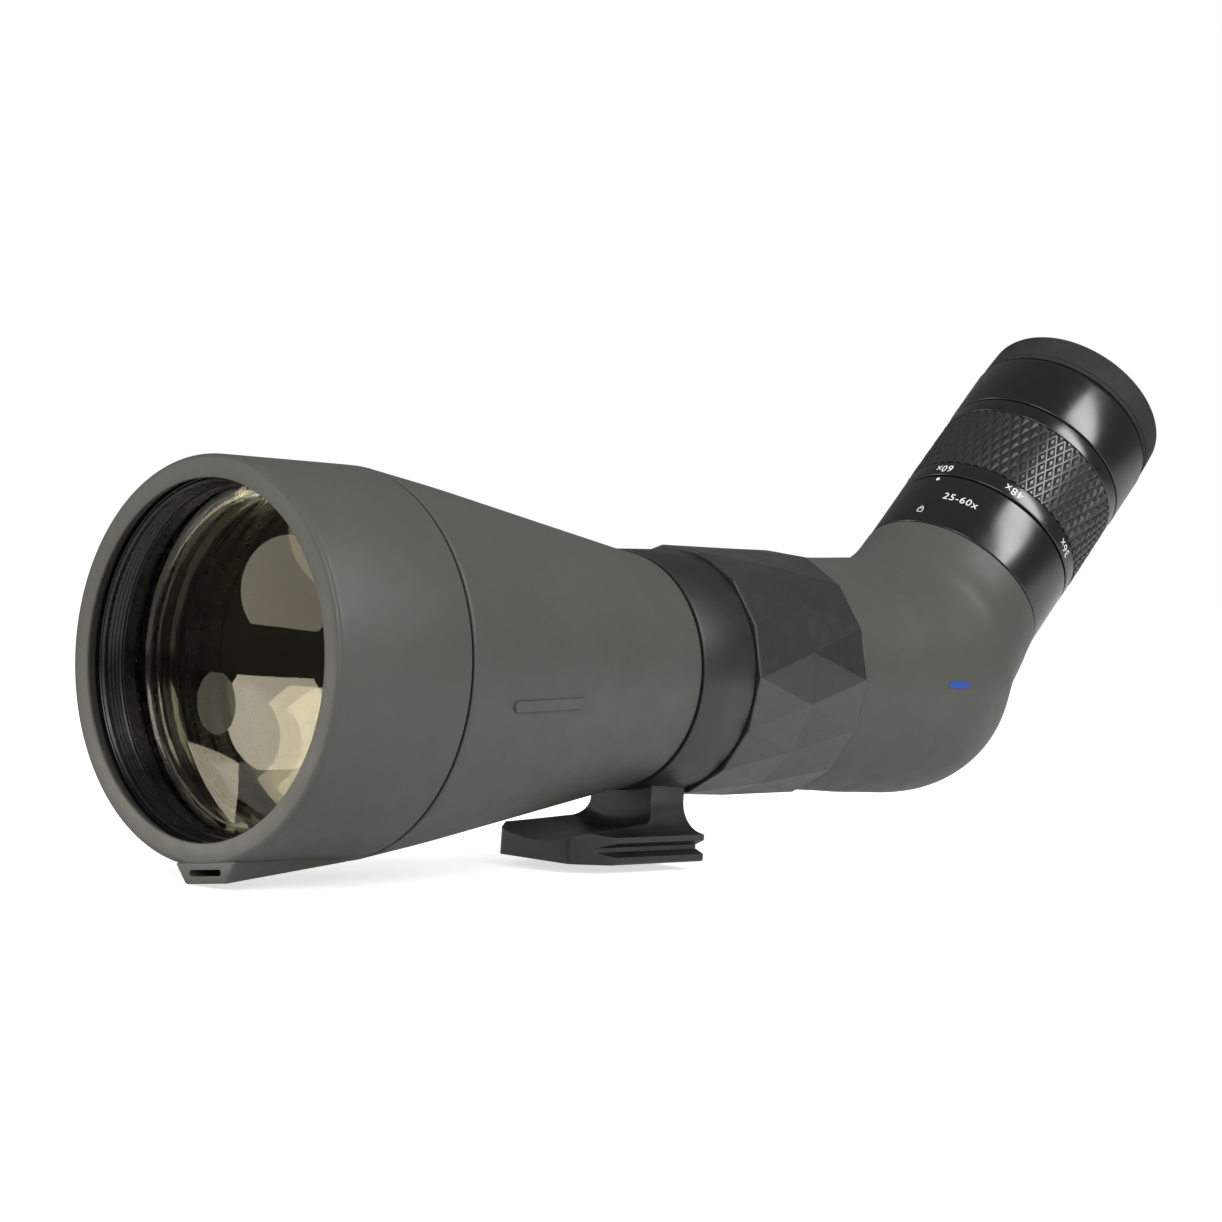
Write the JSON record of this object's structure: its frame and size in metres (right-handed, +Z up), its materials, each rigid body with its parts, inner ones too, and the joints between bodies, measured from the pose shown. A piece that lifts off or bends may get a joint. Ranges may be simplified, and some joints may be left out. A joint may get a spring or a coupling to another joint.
{
  "type": "angled spotting scope",
  "caption": "Angled spotting scope with a sliding hood, a faceted focus ring, a turning collar on a dovetail foot, a zoom eyepiece and a twist-up eyecup.",
  "frame": {"origin": "centre of the flat base of the mounting foot", "axes": "+X from the objective to the eyepiece along the optical axis, +Z up, away from the foot base"},
  "size_m": [0.3751, 0.0975, 0.1608],
  "materials": {
    "body_paint": "satin grey-green armour paint",
    "black_anodised": "satin black anodised",
    "grip_rubber": "matte black",
    "knurled_grip": "satin black, diamond knurl",
    "black_plastic": "matte black",
    "baffle_black": "dead matte black",
    "coated_glass": "polished, warm anti-reflection coating",
    "bare_steel": "turned",
    "gear_brass": "machined",
    "felt": "black felt"
  },
  "bodies": {
    "mount": {"mount_collar": "black_anodised", "collar_liner": "black_plastic", "large_thread_insert": "bare_steel", "small_thread_insert": "bare_steel"},
    "lock_knob": {"lock_knob": "grip_rubber", "lock_screw": "bare_steel"},
    "barrel": {"objective_cell": "black_anodised", "filter_ring": "black_anodised", "objective_retainer": "black_anodised", "front_lens": "coated_glass", "front_spacer": "black_anodised", "middle_lens": "coated_glass", "rear_spacer": "black_anodised", "rear_lens": "coated_glass", "lens_spring_ring": "bare_steel", "front_barrel": "body_paint", "front_baffle": "baffle_black", "rear_baffle": "baffle_black", "centre_tube": "black_anodised", "prism_housing": "body_paint", "prism_cage": "baffle_black", "roof_prism": "coated_glass", "front_screw_bearing": "gear_brass", "rear_screw_bearing": "gear_brass", "focus_guide_rod": "bare_steel", "index_ring": "black_anodised", "eyepiece_barrel": "black_anodised", "seat_ring": "black_anodised", "field_lens_cell": "black_anodised", "field_lens": "coated_glass", "field_stop": "baffle_black", "eye_lens_cell": "black_anodised", "eye_lens": "coated_glass", "eye_lens_retainer": "black_anodised"},
    "hood_guide": {"hood_guide_ring": "black_plastic"},
    "hood": {"hood_shell": "body_paint", "hood_felt_band": "felt"},
    "focus_ring": {"focus_grip": "grip_rubber", "focus_carrier": "black_anodised", "focus_ring_gear": "gear_brass"},
    "focus_screw": {"focus_pinion": "gear_brass", "focus_lead_screw": "bare_steel"},
    "focus_carriage": {"focus_lens_cell": "black_anodised", "focus_lens": "coated_glass"},
    "zoom_ring": {"zoom_scale_ring": "black_anodised", "zoom_grip": "knurled_grip", "zoom_sleeve": "black_anodised"},
    "variator": {"variator_cell": "black_anodised", "variator_lens": "coated_glass"},
    "compensator": {"compensator_cell": "black_anodised", "compensator_lens": "coated_glass"},
    "eyecup_carrier": {"eyecup_carrier": "black_plastic"},
    "eyecup": {"eyecup_sleeve": "black_anodised", "eyecup_rubber": "grip_rubber"}
  },
  "joints": [
    {"name": "barrel_rotation", "type": "hinge", "parent": "mount", "child": "barrel", "pos_m": [0.0138, 0, 0.0505], "axis": [1, 0, 0], "continuous": true},
    {"name": "lock_knob_turn", "type": "hinge", "parent": "mount", "child": "lock_knob", "pos_m": [0.0138, 0.044, 0.0505], "axis": [0, 1, 0], "range_deg": [0, 180]},
    {"name": "hood_turn", "type": "hinge", "parent": "barrel", "child": "hood_guide", "pos_m": [-0.1198, 0, 0.0505], "axis": [1, 0, 0], "continuous": true},
    {"name": "hood_slide", "type": "slide", "parent": "hood_guide", "child": "hood", "axis": [-1, 0, 0], "range_m": [0, 0.029]},
    {"name": "focus_turn", "type": "hinge", "parent": "barrel", "child": "focus_ring", "pos_m": [0.0472, 0, 0.0505], "axis": [1, 0, 0], "range_deg": [0, 330]},
    {"name": "focus_pinion_turn", "type": "hinge", "parent": "barrel", "child": "focus_screw", "pos_m": [0.0472, 0, 0.07466], "axis": [1, 0, 0], "range_deg": [0, 1651]},
    {"name": "focus_carriage_slide", "type": "slide", "parent": "barrel", "child": "focus_carriage", "axis": [1, 0, 0], "range_m": [0, 0.0138]},
    {"name": "zoom_turn", "type": "hinge", "parent": "barrel", "child": "zoom_ring", "pos_m": [0.17831, 0, 0.10141], "axis": [-0.7071, 0, -0.7071], "range_deg": [0, 140]},
    {"name": "variator_slide", "type": "slide", "parent": "barrel", "child": "variator", "axis": [0.7071, 0, 0.7071], "range_m": [0, 0.0081]},
    {"name": "compensator_slide", "type": "slide", "parent": "barrel", "child": "compensator", "axis": [-0.7071, 0, -0.7071], "range_m": [0, 0.0061]},
    {"name": "eyecup_lift", "type": "slide", "parent": "barrel", "child": "eyecup_carrier", "axis": [0.7071, 0, 0.7071], "range_m": [0, 0.0121]},
    {"name": "eyecup_twist", "type": "hinge", "parent": "eyecup_carrier", "child": "eyecup", "pos_m": [0.20165, 0, 0.12475], "axis": [0.7071, 0, 0.7071], "range_deg": [0, 120]}
  ],
  "couplings": [
    {"joint": "focus_pinion_turn", "follows": "focus_turn", "ratio": 5},
    {"joint": "focus_carriage_slide", "follows": "focus_turn", "m_per_rad": 0.0023873},
    {"joint": "variator_slide", "follows": "zoom_turn", "m_per_rad": 0.003274},
    {"joint": "compensator_slide", "follows": "zoom_turn", "m_per_rad": 0.0024555},
    {"joint": "eyecup_lift", "follows": "eyecup_twist", "m_per_rad": 0.0057296}
  ]
}
